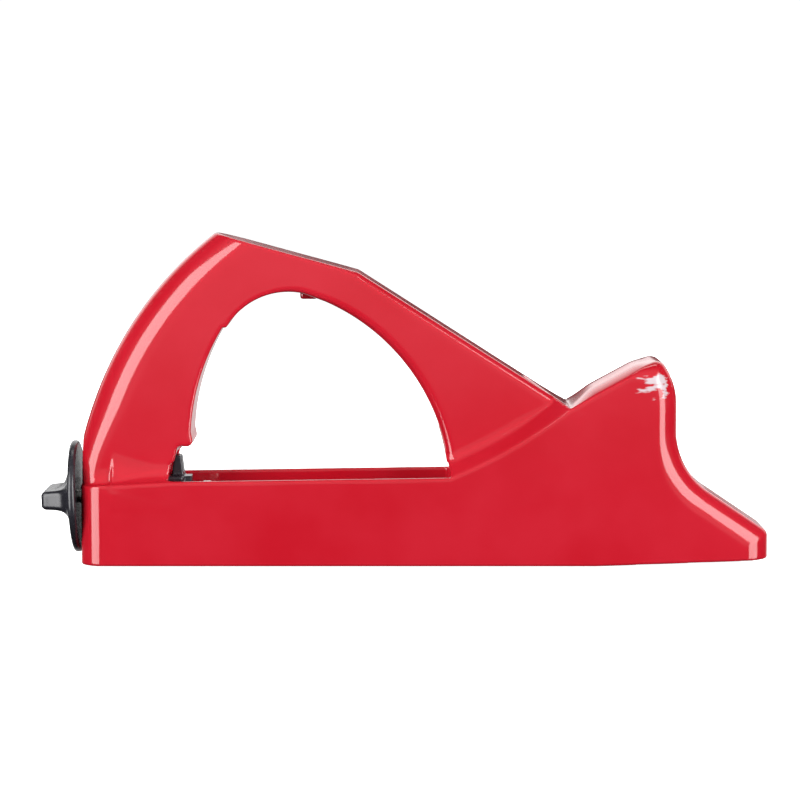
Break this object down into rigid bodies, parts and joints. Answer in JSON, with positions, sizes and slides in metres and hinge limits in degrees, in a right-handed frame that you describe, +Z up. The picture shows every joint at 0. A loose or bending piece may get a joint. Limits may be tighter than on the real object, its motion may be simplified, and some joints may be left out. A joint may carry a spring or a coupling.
{
  "type": "hand rasp plane",
  "caption": "Cast rasp plane for shaving board edges: arched D-handle, palm horn, perforated blade under the sole, and a rear knob that tensions the blade.",
  "frame": {"origin": "middle of the overall length and width, on the ground under the blade's teeth", "axes": "+X along the tool towards the toe, the tension knob is at the -X end, +Y to the user's left, +Z up"},
  "size_m": [0.3119, 0.0486, 0.1419],
  "materials": {
    "red_paint": "gloss red paint on a smooth casting",
    "black_plastic": "satin black moulding",
    "rasp_steel": "hardened strip with a slight grey oxide",
    "zinc_steel": "bright zinc plate",
    "plain_steel": "plain steel"
  },
  "bodies": {
    "plane_body": {"body_casting": "red_paint", "rasp_blade": "rasp_steel", "anchor_plate": "zinc_steel", "anchor_screw_right": "plain_steel", "anchor_screw_left": "plain_steel", "thrust_washer": "zinc_steel"},
    "knob": {"tension_knob": "black_plastic", "tension_screw": "zinc_steel", "retaining_clip": "plain_steel", "screw_end_cap": "zinc_steel"},
    "carriage": {"tension_carriage": "black_plastic", "tension_nut": "zinc_steel", "blade_hook": "zinc_steel", "hook_rivet_rear": "plain_steel", "hook_rivet_front": "plain_steel"}
  },
  "joints": [
    {"name": "knob_turn", "type": "hinge", "parent": "plane_body", "child": "knob", "pos_m": [-0.13893, 0, 0.0281], "axis": [0.9994, 0, 0.0349], "range_deg": [-1440, 0]},
    {"name": "carriage_slide", "type": "slide", "parent": "plane_body", "child": "carriage", "axis": [0.9994, 0, 0.0349], "range_m": [0, 0.004]}
  ],
  "couplings": [
    {"joint": "knob_turn", "follows": "carriage_slide", "rad_per_m": -6283.2}
  ]
}
